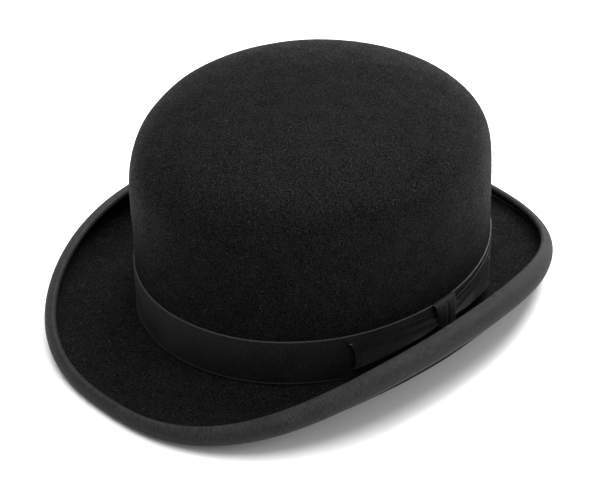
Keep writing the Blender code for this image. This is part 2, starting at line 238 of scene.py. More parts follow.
def evenly_round(curve, count):
    """This many angles that divide a closed line into equal lengths."""
    fine = np.linspace(0, FULL_TURN, 2881)
    points = curve(fine)
    run = np.concatenate([[0], np.cumsum(np.linalg.norm(np.diff(points, axis=0), axis=-1))])
    return np.interp(np.arange(count) / count * run[-1], run, fine), run[-1]


# Making meshes


def add_mesh(name, points, face_sets, material, sharp=50, **point_values):
    """A piece from arrays of points and faces, closed and facing out."""
    mesh = bpy.data.meshes.new(name)
    points = np.asarray(points, dtype=float).reshape(-1, 3)
    face_sets = [np.asarray(faces, dtype=np.int32) for faces in face_sets if len(faces)]
    corners = np.concatenate([faces.ravel() for faces in face_sets])
    sizes = np.concatenate([np.full(len(faces), faces.shape[1]) for faces in face_sets])
    mesh.vertices.add(len(points))
    mesh.vertices.foreach_set("co", points.astype(np.float32).ravel())
    mesh.loops.add(len(corners))
    mesh.loops.foreach_set("vertex_index", corners)
    mesh.polygons.add(len(sizes))
    mesh.polygons.foreach_set("loop_start", np.concatenate([[0], np.cumsum(sizes)[:-1]]))
    mesh.update(calc_edges=True)
    signed = 0.0
    for faces in face_sets:
        a = points[faces[:, 0]]
        for k in range(1, faces.shape[1] - 1):
            signed += np.einsum("ij,ij->", a, np.cross(points[faces[:, k]], points[faces[:, k + 1]]))
    if signed < 0:
        mesh.flip_normals()
    for key, values in point_values.items():
        values = np.asarray(values, dtype=np.float32)
        kind = "FLOAT" if values.ndim == 1 else "FLOAT_VECTOR"
        attribute = mesh.attributes.new(key, kind, "POINT")
        attribute.data.foreach_set("value" if values.ndim == 1 else "vector", values.ravel())
    mesh.materials.append(material)
    mesh.shade_smooth()
    mesh.set_sharp_from_angle(angle=math.radians(sharp))
    item = bpy.data.objects.new(name, mesh)
    bpy.context.scene.collection.objects.link(item)
    return item


def grid_quads(rows, columns, closed_rows=False, closed_columns=True, first=0):
    index = np.arange(rows * columns).reshape(rows, columns) + first
    if closed_rows:
        index = np.vstack([index, index[:1]])
    if closed_columns:
        index = np.hstack([index, index[:, :1]])
    a, b, c, d = index[:-1, :-1], index[1:, :-1], index[1:, 1:], index[:-1, 1:]
    return np.stack([a, b, c, d], axis=-1).reshape(-1, 4)


def add_ring(name, rows, material, **options):
    """A closed ring whose section is a loop of rows."""
    grid = np.array(rows)
    faces = grid_quads(grid.shape[0], grid.shape[1], closed_rows=True)
    return add_mesh(name, grid, [faces], material, **options)


def add_slab(name, outer, inner, material, cloth=()):
    """A solid between two open grids of points, closed round its rim. Both share the cloth's rows."""
    outer, inner = np.array(outer), np.array(inner)
    rows, columns = outer.shape[:2]
    count = rows * columns
    front = grid_quads(rows, columns, closed_columns=False)
    index = np.arange(count).reshape(rows, columns)
    rim = np.concatenate([index[0, :-1], index[:-1, -1], index[-1, :0:-1], index[:0:-1, 0]])
    after = np.roll(rim, -1)
    sides = np.stack([rim, after, after + count, rim + count], axis=-1)
    points = np.concatenate([outer.reshape(-1, 3), inner.reshape(-1, 3)])
    options = {"cloth": np.concatenate([*cloth, *cloth]) * 1000} if cloth else {}
    return add_mesh(name, points, [front, front[:, ::-1] + count, sides], material, **options)


def add_dome(name, outer, inner, tops, material, **options):
    """A shell between two grids that run down from the crown's top, closed there and at the rim."""
    outer, inner = np.array(outer), np.array(inner)
    rows, columns = outer.shape[:2]
    count = rows * columns
    points = np.concatenate([outer.reshape(-1, 3), inner.reshape(-1, 3), tops])
    quads = grid_quads(rows, columns)
    here = np.arange(columns)
    beside = (here + 1) % columns
    edge = (rows - 1) * columns
    rim = np.stack([here + edge, here + edge + count, beside + edge + count, beside + edge], axis=-1)
    cap = np.stack([np.full(columns, 2 * count), here, beside], axis=-1)
    under = np.stack([np.full(columns, 2 * count + 1), beside + count, here + count], axis=-1)
    faces = [np.concatenate([quads, quads[:, ::-1] + count, rim]), np.concatenate([cap, under])]
    return add_mesh(name, points, faces, material, **options)


def normals_of(grid):
    """Outward unit normals of a grid whose rows run down the hat."""
    down = np.gradient(grid, axis=0)
    across = np.roll(grid, -1, axis=1) - np.roll(grid, 1, axis=1)
    normal = np.cross(down, across)
    return normal / np.linalg.norm(normal, axis=-1, keepdims=True)


def swell(points, size, depth, seed):
    """A slow unevenness over a surface, from a few seeded waves."""
    waves = np.random.default_rng(seed)
    total = np.zeros(points.shape[:-1])
    for _ in range(6):
        direction = waves.normal(size=3)
        direction *= FULL_TURN / size / np.linalg.norm(direction) * waves.uniform(0.6, 1.5)
        total += np.sin(points @ direction + waves.uniform(0, FULL_TURN))
    return total * depth / 3


def add_stitches(name, path, out, length, spacing, radius, material, closed=True):
    """A row of single stitches along a path: each rises off the cloth and dives in again."""
    run = np.vstack([path, path[:1]]) if closed else path
    leaving = np.vstack([out, out[:1]]) if closed else out
    distance = np.concatenate([[0], np.cumsum(np.linalg.norm(np.diff(run, axis=0), axis=-1))])
    count = max(1, int(distance[-1] / spacing))
    sides, rings = 6, 7
    points, quads, ends = [], [], []
    for stitch in range(count):
        start = (stitch + 0.5) * distance[-1] / count - length / 2
        where = np.clip(start + np.linspace(0, length, rings), 0, distance[-1])
        line = np.stack([np.interp(where, distance, run[:, k]) for k in range(3)], axis=-1)
        away = np.stack([np.interp(where, distance, leaving[:, k]) for k in range(3)], axis=-1)
        arch = np.sin(np.linspace(0, math.pi, rings))
        line = line + away * (radius * (1.5 * arch - 1.0))[:, None]
        ahead = np.gradient(line, axis=0)
        ahead /= np.linalg.norm(ahead, axis=-1, keepdims=True)
        side = np.cross(ahead, away)
        side /= np.linalg.norm(side, axis=-1, keepdims=True)
        above = np.cross(side, ahead)
        wide = radius * (0.55 + 0.45 * arch)
        first = stitch * sides * rings
        for k in range(rings):
            for turn in np.linspace(0, FULL_TURN, sides, endpoint=False):
                points.append(line[k] + wide[k] * (math.cos(turn) * side[k] + math.sin(turn) * above[k]))
        quads.append(grid_quads(rings, sides, first=first))
        ends.append(np.arange(sides)[::-1] + first)
        ends.append(np.arange(sides) + first + sides * (rings - 1))
    return add_mesh(name, points, [np.concatenate(quads), np.array(ends)], material)


# Materials


class Nodes:
    """A small helper that adds and links shader nodes."""

    def __init__(self, name, roughness=0.8, **sockets):
        self.material = bpy.data.materials.new(name)
        self.material.use_nodes = True
        self.tree = self.material.node_tree
        self.shader = self.tree.nodes["Principled BSDF"]
        self.shader.inputs["Roughness"].default_value = roughness
        for socket, value in sockets.items():
            self.shader.inputs[socket.replace("_", " ")].default_value = value

    def add(self, kind, inputs=None, **settings):
        node = self.tree.nodes.new(kind)
        for key, value in settings.items():
            setattr(node, key, value)
        for key, value in (inputs or {}).items():
            if isinstance(value, bpy.types.NodeSocket):
                self.tree.links.new(value, node.inputs[key])
            else:
                node.inputs[key].default_value = value
        return node

    def place(self, scale=(1, 1, 1), turn=(0, 0, 0)):
        """Object coordinates in millimetres, stretched."""
        where = self.add("ShaderNodeTexCoord").outputs["Object"]
        size = [1000 * s for s in scale]
        return self.add("ShaderNodeMapping", {"Vector": where, "Scale": size, "Rotation": turn}).outputs[0]

    def along_cloth(self, scale):
        """The cloth's own coordinates in millimetres: along it and across it."""
        where = self.add("ShaderNodeAttribute", attribute_name="cloth").outputs["Vector"]
        return self.add("ShaderNodeMapping", {"Vector": where, "Scale": scale}).outputs[0]

    def noise(self, where, scale, detail=3.0, roughness=0.55):
        inputs = {"Vector": where, "Scale": scale, "Detail": detail, "Roughness": roughness}
        return self.add("ShaderNodeTexNoise", inputs).outputs["Fac"]

    def wave(self, where, scale, direction, distortion=0.0):
        inputs = {"Vector": where, "Scale": scale, "Distortion": distortion}
        return self.add("ShaderNodeTexWave", inputs, bands_direction=direction).outputs["Fac"]

    def ramp(self, value, low, high, low_out=0.0, high_out=1.0):
        inputs = {"Value": value, "From Min": low, "From Max": high, "To Min": low_out, "To Max": high_out}
        return self.add("ShaderNodeMapRange", inputs).outputs["Result"]

    def math(self, operation, first, second):
        node = self.add("ShaderNodeMath", operation=operation)
        for socket, value in zip(node.inputs, (first, second)):
            if isinstance(value, bpy.types.NodeSocket):
                self.tree.links.new(value, socket)
            else:
                socket.default_value = value
        return node.outputs[0]

    def mix(self, factor, first, second):
        node = self.add("ShaderNodeMix", data_type="RGBA")
        self.tree.links.new(factor, node.inputs["Factor"])
        for socket, value in ((node.inputs[6], first), (node.inputs[7], second)):
            if isinstance(value, bpy.types.NodeSocket):
                self.tree.links.new(value, socket)
            else:
                socket.default_value = (*value, 1)
        return node.outputs[2]

    def finish(self, colour, height=None, depth=0.0001, roughness=None, strength=1.0):
        self.tree.links.new(colour, self.shader.inputs["Base Color"])
        if height is not None:
            bump = self.add("ShaderNodeBump", {"Height": height, "Distance": depth, "Strength": strength})
            self.tree.links.new(bump.outputs[0], self.shader.inputs["Normal"])
        if roughness is not None:
            self.tree.links.new(roughness, self.shader.inputs["Roughness"])
        return self.material


def felt_material():
    """Black fur felt: short fibres lying in all directions, with paler ones among them."""
    n = Nodes("felt", 0.62, Specular_IOR_Level=0.03)
    cloud = n.noise(n.place(), 0.10, 3)
    mottle = n.noise(n.place(), 0.9, 4, 0.65)
    grains = []
    stretched = ((1, 3.4, 1.6), (3.2, 1, 1.5), (1.5, 1.4, 3.6))
    turned = ((0.3, 0.2, 0.5), (1.1, 0.4, 2.0), (0.7, 1.9, 1.2))
    for scale, turn in zip(stretched, turned):
        grains.append(n.noise(n.place(scale, turn), 0.95, 2, 0.6))
    fibre = n.math("MAXIMUM", n.math("MAXIMUM", grains[0], grains[1]), grains[2])
    fleck = n.ramp(fibre, 0.60, 0.74)
    shade = n.math("ADD", n.math("MULTIPLY", mottle, 0.82), n.math("MULTIPLY", cloud, 0.18))
    base = n.mix(n.ramp(shade, 0.40, 0.60), (0.0001, 0.0001, 0.0001), (0.0056, 0.0055, 0.0055))
    colour = n.mix(fleck, base, (0.034, 0.0335, 0.033))
    height = n.math("ADD", n.math("MULTIPLY", mottle, 0.5), fibre)
    rough = n.ramp(shade, 0.38, 0.62, 0.78, 0.50)
    return n.finish(colour, height, 0.0011, rough)


def grosgrain_material(name, colour, roughness=0.55):
    """Ribbed ribbon: the ribs are in the mesh, with painted shade between them and a painted highlight on the
    smooth selvages.
    """
    n = Nodes(name, roughness, Sheen_Weight=0.04, Sheen_Roughness=0.35, Specular_IOR_Level=0.12)
    warp = n.wave(n.along_cloth((0.0, 1.0, 0.0)), 1.35, "Y", 0.6)
    slub = n.noise(n.along_cloth((1.3, 0.35, 1.0)), 1.0, 3, 0.65)
    worn = n.noise(n.place(), 0.07, 2)
    dark = tuple(c * 0.35 for c in colour)
    light = tuple(c * 1.7 for c in colour)
    tone = n.math("ADD", n.math("MULTIPLY", slub, 0.75), n.math("MULTIPLY", worn, 0.25))
    base = n.mix(n.ramp(tone, 0.38, 0.62), dark, light)
    rib = n.wave(n.along_cloth((1.0, 0.0, 0.0)), RIB_SCALE, "X")
    woven = n.mix(n.ramp(warp, 0.1, 0.9, 0.0, 0.25), base, dark)
    # painted shade: the colour darkens in the grooves between the ribs
    ribbed = n.mix(n.ramp(rib, 0.6, 0.0, 0.0, 0.85), woven, tuple(c * 0.12 for c in colour))
    # painted highlight: the smooth selvage rows, marked by the cloth's third value, are painted much paler
    selvage_highlight = n.add("ShaderNodeSeparateXYZ", {"Vector": n.along_cloth((1.0, 1.0, 1.0))}).outputs["Z"]
    finished = n.mix(n.ramp(selvage_highlight, 0.3, 0.9), ribbed, tuple(c * 2.8 for c in colour))
    rough = n.ramp(worn, 0.3, 0.7, roughness - 0.06, roughness + 0.08)
    return n.finish(finished, n.math("ADD", warp, slub), 0.00006, rough, 0.7)


def thread_material():
    n = Nodes("thread", 0.55, Sheen_Weight=0.2, Sheen_Roughness=0.3)
    twist = n.wave(n.place(turn=(0, 0, 0.8)), 1.2, "DIAGONAL", 1.5)
    colour = n.mix(n.ramp(twist, 0.2, 0.8), (0.008, 0.008, 0.009), (0.032, 0.032, 0.034))
    return n.finish(colour, twist, 0.00005)


def leather_material():
    n = Nodes("leather", 0.45, Specular_IOR_Level=0.5, Coat_Weight=0.05, Coat_Roughness=0.4)
    cells = n.add("ShaderNodeTexVoronoi", {"Vector": n.place(), "Scale": 1.5}, feature="DISTANCE_TO_EDGE")
    pore = n.ramp(cells.outputs["Distance"], 0.0, 0.12)
    cloud = n.noise(n.place(), 0.06, 4)
    fine = n.noise(n.place(), 1.1, 3)
    base = n.mix(n.ramp(cloud, 0.3, 0.7), (0.155, 0.062, 0.026), (0.265, 0.118, 0.052))
    colour = n.mix(pore, (0.085, 0.034, 0.016), base)
    rough = n.ramp(n.math("ADD", cloud, fine), 0.7, 1.3, 0.36, 0.58)
    return n.finish(colour, n.math("ADD", pore, n.math("MULTIPLY", fine, 0.4)), 0.00012, rough, 0.7)


def satin_material():
    n = Nodes("satin", 0.34, Sheen_Weight=0.3, Sheen_Roughness=0.3, Specular_IOR_Level=0.6, Anisotropic=0.4)
    weave = n.noise(n.along_cloth((6.0, 0.5, 1.0)), 1.0, 2)
    cloud = n.noise(n.place(), 0.05, 2)
    tone = n.math("ADD", n.math("MULTIPLY", weave, 0.6), n.math("MULTIPLY", cloud, 0.4))
    colour = n.mix(n.ramp(tone, 0.3, 0.7), (0.52, 0.49, 0.43), (0.70, 0.67, 0.61))
    return n.finish(colour, weave, 0.00003, n.ramp(weave, 0.3, 0.7, 0.28, 0.42), 0.5)


def cotton_material():
    n = Nodes("cotton_tape", 0.85, Sheen_Weight=0.2, Sheen_Roughness=0.5)
    one = n.wave(n.along_cloth((1.0, 0.0, 0.0)), 0.9, "X", 0.5)
    other = n.wave(n.along_cloth((0.0, 1.0, 0.0)), 0.9, "Y", 0.5)
    weave = n.math("MULTIPLY", one, other)
    cloud = n.noise(n.place(), 0.3, 3)
    colour = n.mix(n.ramp(n.math("ADD", weave, cloud), 0.4, 1.2), (0.035, 0.030, 0.025), (0.12, 0.10, 0.085))
    return n.finish(colour, weave, 0.0001)


def reed_material():
    n = Nodes("reed", 0.45, Specular_IOR_Level=0.4)
    streak = n.noise(n.place((1, 1, 0.3)), 0.5, 4)
    colour = n.mix(n.ramp(streak, 0.3, 0.7), (0.42, 0.36, 0.25), (0.66, 0.60, 0.47))
    return n.finish(colour, streak, 0.00006, n.ramp(streak, 0.3, 0.7, 0.38, 0.55))


def label_material():
    n = Nodes("label", 0.75, Sheen_Weight=0.1)
    pulp = n.noise(n.place(), 1.6, 5, 0.7)
    stain = n.noise(n.place(), 0.12, 2)
    base = n.mix(n.ramp(pulp, 0.3, 0.7), (0.60, 0.57, 0.50), (0.76, 0.73, 0.66))
    colour = n.mix(n.ramp(stain, 0.5, 0.8, 0, 0.5), base, (0.52, 0.45, 0.34))
    return n.finish(colour, pulp, 0.00005)


def nap_material():
    """Single hairs of the felt: mostly black, some grey and a few nearly white."""
    n = Nodes("nap", 0.7, Specular_IOR_Level=0.1)
    shade = n.add("ShaderNodeAttribute", attribute_name="shade").outputs["Fac"]
    tone = n.math("POWER", shade, 2.4)
    grain = n.noise(n.place(), 3.0, 2)
    colour = n.mix(tone, (0.003, 0.003, 0.003), (0.24, 0.235, 0.23))
    finished = n.mix(n.ramp(grain, 0.3, 0.7, 0.0, 0.3), colour, (0.02, 0.02, 0.02))
    return n.finish(finished)


# The felt body


BRIM_ROWS = 56
BOUND_ROWS = 14  # the rows of the brim that lie inside the curl


def felt_surface(columns):
    """The upper face of the felt, from near the crown's top down and out to the brim's edge."""
    angles = np.linspace(0, FULL_TURN, columns, endpoint=False)
    dome = np.sin(np.radians(np.linspace(88.5, 0, 64)))
    rows = [crown_point(angles, np.full(columns, WALL_TOP + (CROWN_TOP - WALL_TOP) * d)) for d in dome]
    foot = break_height(angles) + BREAK_RADIUS
    for share in np.linspace(0, 1, 36)[1:]:
        rows.append(crown_point(angles, WALL_TOP + (foot - WALL_TOP) * share))
    start = crown_point(angles, break_height(angles))
    corner = brim_point(angles, np.zeros(columns)) - start
    for turn in np.radians(np.arange(15, 90, 15)):
        lift = np.array([0, 0, BREAK_RADIUS * (1 - math.sin(turn))])
        rows.append(start + corner * (1 - math.cos(turn)) + lift)
    for along in np.linspace(0, 1, BRIM_ROWS) ** 0.9:
        rows.append(brim_point(angles, np.full(columns, along)))
    grid = np.array(rows)
    uneven = swell(grid, 0.045, 0.00012, 3)
    uneven[-16:] *= np.linspace(1, 0, 16)[:, None]
    return grid + uneven[..., None] * normals_of(grid)


def make_felt_body(material):
    outer = felt_surface(512)
    inner = outer - FELT * normals_of(outer)
    tops = [[0, CROWN_Y + CROWN_LEAN, CROWN_TOP], [0, CROWN_Y + CROWN_LEAN, CROWN_TOP - FELT]]
    return add_dome("felt_shell", outer, inner, tops, material)


def make_nap(material):
    """Short loose hairs that lie on the felt. Each is a thin closed spike."""
    surface = felt_surface(256)[6:-BOUND_ROWS]
    normal = normals_of(surface)
    corner = surface[:-1, :-1]
    across = surface[:-1, 1:] - corner
    down = surface[1:, :-1] - corner
    area = np.linalg.norm(np.cross(down, across), axis=-1).ravel()
    count = HAIRS
    picked = random.choice(len(area), count, p=area / area.sum())
    row, column = np.unravel_index(picked, corner.shape[:2])
    share = random.random((count, 2, 1))
    root = corner[row, column] + share[:, 0] * across[row, column] + share[:, 1] * down[row, column]
    away = normal[row, column]
    first = across[row, column] / np.linalg.norm(across[row, column], axis=-1, keepdims=True)
    second = np.cross(away, first)
    heading = random.uniform(0, FULL_TURN, (count, 1))
    lie = np.cos(heading) * first + np.sin(heading) * second
    bend = np.cross(away, lie) * random.normal(0, 0.35, (count, 1))
    length = random.lognormal(math.log(0.0012), 0.42, (count, 1)).clip(0.0005, 0.0032)
    width = random.uniform(0.00003, 0.00006, (count, 1))
    stand = random.uniform(0.03, 0.2, (count, 1))
    middle = root + length * 0.5 * (lie + stand * away)
    tip = root + length * (lie + bend + stand * 0.8 * away)
    root = root - 0.00006 * away
    side = np.cross(away, lie)
    ring = [side, -0.5 * side + 0.8 * away, -0.5 * side - 0.8 * away]
    points = [root + width * r for r in ring] + [middle + 0.8 * width * r for r in ring] + [tip]
    points = np.stack(points, axis=1).reshape(-1, 3)
    base = np.arange(count)[:, None] * 7
    quads = np.concatenate([base + [k, 3 + k, 3 + (k + 1) % 3, (k + 1) % 3] for k in range(3)])
    tips = [base + [3 + k, 6, 3 + (k + 1) % 3] for k in range(3)]
    caps = base + [0, 1, 2]
    shade = np.repeat(random.beta(1.2, 2.0, count), 7)
    faces = [quads, np.concatenate([*tips, caps])]
    return add_mesh("felt_nap", points, faces, material, sharp=180, shade=shade)


# The ribbons


def ribs(count):
    return np.tile(RIB_PROFILE, count)


def ribbon_rows(width, steps):
    """Insets from a ribbon's selvage, with the height and the share of ribbing at each."""
    insets = [0, 0.00012, 0.0004, SELVAGE, SELVAGE + 0.00025]
    insets += list(np.linspace(SELVAGE + 0.0006, width - 0.0004, steps))
    heights = [-0.00018, 0.00010, 0.00018, 0.00008, -0.00002] + [0.0] * steps
    ribbed = [0, 0.15, 0.25, 0.15, 0.6] + [1.0] * steps
    return list(zip(insets, heights, ribbed))


def make_brim_binding(material):
    """Ribbed ribbon folded over the edge: wide on the curl's outer face, narrow inside it."""
    count = int(round(evenly_round(brim_edge, 8)[1] / RIB_PITCH))
    angles, length = evenly_round(brim_edge, 4 * count)
    rib = ribs(count)
    run = np.arange(4 * count) / 4 * RIB_PITCH
    base = GAP + RIBBON - RIB_DEPTH
    rows, cloth = [], []

    def add(row, across, selvage_highlight=0.0):
        rows.append(row)
        cloth.append((across, selvage_highlight))

    for inset, height, share in ribbon_rows(BINDING_INSIDE, 5):
        turned, along = in_from_edge(angles, BINDING_INSIDE - inset)
        add(on_brim(turned, along, base + height + RIB_DEPTH * share * rib), inset, 1 - share)
    ones = np.ones_like(angles)
    middle = on_brim(angles, ones, -FELT / 2)
    up = on_brim(angles, ones, 1.0) - on_brim(angles, ones, 0.0)
    round_it = brim_point(angles + SMALL, ones) - brim_point(angles - SMALL, ones)
    out = np.cross(round_it, up)
    out /= np.linalg.norm(out, axis=-1, keepdims=True)
    radius = (FELT / 2 + base + RIB_DEPTH * rib)[:, None]
    for turn in np.radians(np.arange(0, 181, 20)):
        row = middle + radius * (math.cos(turn) * up + math.sin(turn) * out)
        add(row, BINDING_INSIDE + FELT * turn / math.pi)
    for inset, height, share in ribbon_rows(BINDING_WIDTH, 14)[::-1]:
        turned, along = in_from_edge(angles, BINDING_WIDTH - inset, FELT)
        row = on_brim(turned, along, -FELT - base - height - RIB_DEPTH * share * rib)
        add(row, BINDING_INSIDE + FELT + BINDING_WIDTH - inset, 1 - share)
    for share in np.linspace(1, 0.02, 10):
        turned, along = in_from_edge(angles, BINDING_WIDTH * share, FELT)
        add(on_brim(turned, along, -FELT - GAP / 2), BINDING_WIDTH * share)
    for turn in np.radians([135, 90, 45]):
        add(middle + (FELT / 2 + GAP / 2) * (math.cos(turn) * up + math.sin(turn) * out), 0.0)
    for share in np.linspace(0.02, 1, 6):
        turned, along = in_from_edge(angles, BINDING_INSIDE * share)
        add(on_brim(turned, along, GAP / 2), BINDING_INSIDE * share)
    grid = np.array(rows)
    grid[..., 2] = np.maximum(grid[..., 2], 0)
    # the third cloth value marks the selvage rows for the grosgrain material's painted highlight
    across, selvage_highlight = np.repeat(cloth, len(run), axis=0).T
    coordinates = np.stack([np.tile(run, len(rows)), across, selvage_highlight / 1000], -1)
    return add_ring("brim_ribbon", grid, material, cloth=coordinates * 1000), length


def make_binding_thread(material):
    angles = np.linspace(0, FULL_TURN, 1200, endpoint=False)
    turned, along = in_from_edge(angles, BINDING_INSIDE - STITCH_INSET)
    path = on_brim(turned, along, GAP + RIBBON + 0.0001)
    out = path - on_brim(turned, along, 0.0)
    out /= np.linalg.norm(out, axis=-1, keepdims=True)
    return add_stitches("binding_stitches", path, out, 0.0019, 0.0027, 0.00013, material)


def band_angles():
    line = lambda angle: crown_point(angle, break_height(angle) + BAND_WIDTH / 2)
    count = int(round(evenly_round(line, 8)[1] / RIB_PITCH))
    angles, length = evenly_round(line, 4 * count)
    return angles, length, count


def make_hat_band(material):
    """Ribbed ribbon round the crown, with a smooth selvage on each edge."""
    angles, length, count = band_angles()
    rib = ribs(count)
    run = np.arange(4 * count) / 4 * RIB_PITCH
    low = break_height(angles) + BAND_LIFT
    base = GAP + RIBBON - RIB_DEPTH
    edge = ribbon_rows(BAND_WIDTH / 2, 6)
    mirrored = [(BAND_WIDTH - down, height, share) for down, height, share in edge[-2::-1]]
    wave = 0.00012 * np.sin(5 * angles + 1.0) + 0.00008 * np.sin(11 * angles)
    rows, cloth = [], []
    for down, height, share in edge + mirrored:
        level = low + BAND_WIDTH - down + wave
        rows.append(on_crown(angles, level, base + height + RIB_DEPTH * share * rib))
        cloth.append((down, 1 - share))
    for down in np.array([1, 0.66, 0.33, 0]) * BAND_WIDTH:
        rows.append(on_crown(angles, low + BAND_WIDTH - down + wave, GAP / 2))
        cloth.append((down, 0.0))
    # the third cloth value marks the selvage rows for the grosgrain material's painted highlight
    across, selvage_highlight = np.repeat(cloth, len(run), axis=0).T
    coordinates = np.stack([np.tile(run, len(rows)), across, selvage_highlight / 1000], -1)
    return add_ring("band_ribbon", rows, material, cloth=coordinates * 1000), length


BOW_LIFT = 2 * GAP + 2 * RIBBON
SCOOP = 0.0055  # how deep the wings' ends are cut in
WING_TOP = 0.0012  # how far the wings stay below the band's upper edge


def wing_profile(out_share, down):
    """How far a wing stands off the band: a fold runs from the knot to the low end."""
    crest = 0.40 + 0.36 * out_share
    start = 0.10 + 0.26 * out_share
    peak = 0.0030 - 0.0008 * out_share
    climb = np.clip((down - start) / (crest - start), 0, 1)
    rising = peak * (climb**1.6)
    past = np.clip((down - crest) / 0.035, 0, 1)
    falling = 1 - past * past * (3 - 2 * past)
    foot = 0.00035 + 0.00035 * np.sin(math.pi * np.clip(down, 0, 1)) * (1 - out_share)
    return foot + rising * falling


def make_wing(name, knot_angle, end_angle, material, seed):
    """One wing of the bow, from under the knot to its scooped end."""
    radius = CROWN_HALF_WIDTH + 0.002
    length = abs(end_angle - knot_angle) * radius
    count = int(length / RIB_PITCH)
    columns = 4 * count + 1
    rib = np.append(ribs(count), 0.0)
    crest_rows = np.concatenate([np.linspace(0, 0.1, 5)[:-1], np.linspace(0.1, 1, 64)])
    outer, inner, cloth = [], [], []
    for down in crest_rows:
        scoop = SCOOP * (1 - (2 * down - 1) ** 2) / length
        share = np.linspace(-0.06, 1 - scoop, columns)
        angle = knot_angle + (end_angle - knot_angle) * share
        spread = np.clip(share, 0, 1)
        top = break_height(angle) + BAND_LIFT + BAND_WIDTH - WING_TOP - 0.0030 * (1 - spread) ** 2
        bottom = break_height(angle) + BAND_LIFT + 0.0006 + 0.0052 * (1 - spread) ** 1.5
        level = top + (bottom - top) * down
        pleat = 0.00035 * (1 - spread) ** 2 * np.sin(26 * down + seed)
        lip = 0.00025 * np.exp(-(((1 - scoop - share) * length / 0.0004) ** 2))
        edge = 0.00018 * (np.exp(-((down / 0.02) ** 2)) + np.exp(-(((1 - down) / 0.02) ** 2)))
        offset = BOW_LIFT + wing_profile(spread, down) + pleat + lip + edge
        outer.append(on_crown(angle, level, offset + RIB_DEPTH * (rib - 1)))
        inner.append(on_crown(angle, level, np.maximum(offset - RIBBON, GAP + RIBBON + 0.0001)))
        cloth.append(np.stack([share * length, np.full(columns, down * BAND_WIDTH), np.zeros(columns)], -1))
    return add_slab(name, outer, inner, material, cloth)


def make_bow_knot(material):
    """A ribbon loop wrapped round the bow's middle, creased down its centre."""
    columns = 41
    across = np.linspace(-1, 1, columns)
    middle = (KNOT_FRONT + KNOT_REAR) / 2
    half_width = (KNOT_REAR - KNOT_FRONT) / 2
    foot = float(break_height(np.array([middle]))[0]) + BAND_LIFT
    top, bottom = foot + BAND_WIDTH + 0.0006, foot + 0.0030
    turns = np.linspace(0, 1, 61)
    rows, cloth = [], []
    rib = 0.5 + 0.5 * np.cos(np.arange(61) * math.pi / 2)
    for step, turn in enumerate(turns):
        level = top + (bottom - top) * (0.5 - 0.5 * math.cos(math.pi * turn))
        bulge = math.sin(math.pi * turn) ** 0.45
        crease = 0.0007 * np.exp(-((across - 0.05) / 0.09) ** 2)
        crease += 0.00025 * np.exp(-((across + 0.5) / 0.12) ** 2)
        rounded = 0.0009 * across**4
        narrow = 1 - 0.10 * math.sin(math.pi * turn)
        offset = BOW_LIFT - RIBBON + bulge * (0.0042 - crease - rounded) + RIB_DEPTH * 0.7 * rib[step]
        rows.append(on_crown(middle + half_width * across * narrow, level, offset))
        cloth.append(np.stack([np.full(columns, turn * 0.035), across * 0.007, np.zeros(columns)], -1))
    inner = []
    for turn in turns:
        level = top + (bottom - top) * (0.5 - 0.5 * math.cos(math.pi * turn))
        bulge = math.sin(math.pi * turn) ** 0.45
        offset = BOW_LIFT - RIBBON + bulge * 0.0030 - 0.0002
        inner.append(on_crown(middle + half_width * across * 0.93, level, offset))
    return add_slab("bow_wrap", rows, inner, material, cloth)


def make_tack(name, angle, material):
    foot = float(break_height(np.array([angle]))[0]) + BAND_LIFT + BAND_WIDTH * 0.84
    angles = angle + np.linspace(-0.5, 0.5, 9) * 0.0024 / CROWN_HALF_WIDTH
    path = on_crown(angles, foot, BOW_LIFT + 0.0008)
    out = path - on_crown(angles, foot, 0.0)
    out /= np.linalg.norm(out, axis=-1, keepdims=True)
    return add_stitches(name, path, out, 0.0022, 0.0024, 0.00022, material, closed=False)


# Inside the crown


def sweatband_offset(above):
    """How far the leather's outer side stands in from the felt's outside."""
    step = np.clip((above - REED_TAPE_HEIGHT) / (SWEATBAND_STEP - REED_TAPE_HEIGHT), 0, 1)
    return FELT + GAP + LINING + GAP + step * (LINING + GAP)


def make_sweatband(material):
    half_slit = 0.0006 / CROWN_HALF_LENGTH
    columns = 385
    angles = np.linspace(math.pi + half_slit, 3 * math.pi - half_slit, columns)
    heights = np.concatenate([[0, 0.0003, 0.0008], np.linspace(0.002, SWEATBAND_HEIGHT - 0.001, 44)])
    heights = np.concatenate([heights, [SWEATBAND_HEIGHT - 0.0003, SWEATBAND_HEIGHT]])
    outer, inner = [], []
    for above in heights[::-1]:
        level = break_height(angles) + above
        rounding = 0.00035 * (np.exp(-above / 0.0004) + np.exp(-(SWEATBAND_HEIGHT - above) / 0.0004))
        point = crown_point(angles, level)
        uneven = swell(point, 0.03, 0.00025, 11) * min(1, above / 0.02)
        seam = 0.00022 * math.exp(-(((above - SEAM_HEIGHT) / 0.0007) ** 2))
        offset = -sweatband_offset(above)
        outer.append(on_crown(angles, level, offset - rounding))
        inner.append(on_crown(angles, level, offset - LEATHER + rounding + np.minimum(uneven, 0.0001) + seam))
    return add_slab("sweatband_leather", outer, inner, material)


def make_reed(material):
    """The round cord along the sweatband's lower edge."""
    centre = -float(sweatband_offset(0)) - LEATHER / 2
    angles = np.linspace(0, FULL_TURN, 360, endpoint=False)
    rows = []
    for turn in np.linspace(0, FULL_TURN, 12, endpoint=False):
        level = break_height(angles) - GAP - REED_RADIUS + REED_RADIUS * math.cos(turn)
        rows.append(on_crown(angles, level, centre + REED_RADIUS * math.sin(turn)))
    return add_ring("reed_cord", rows, material, sharp=180)


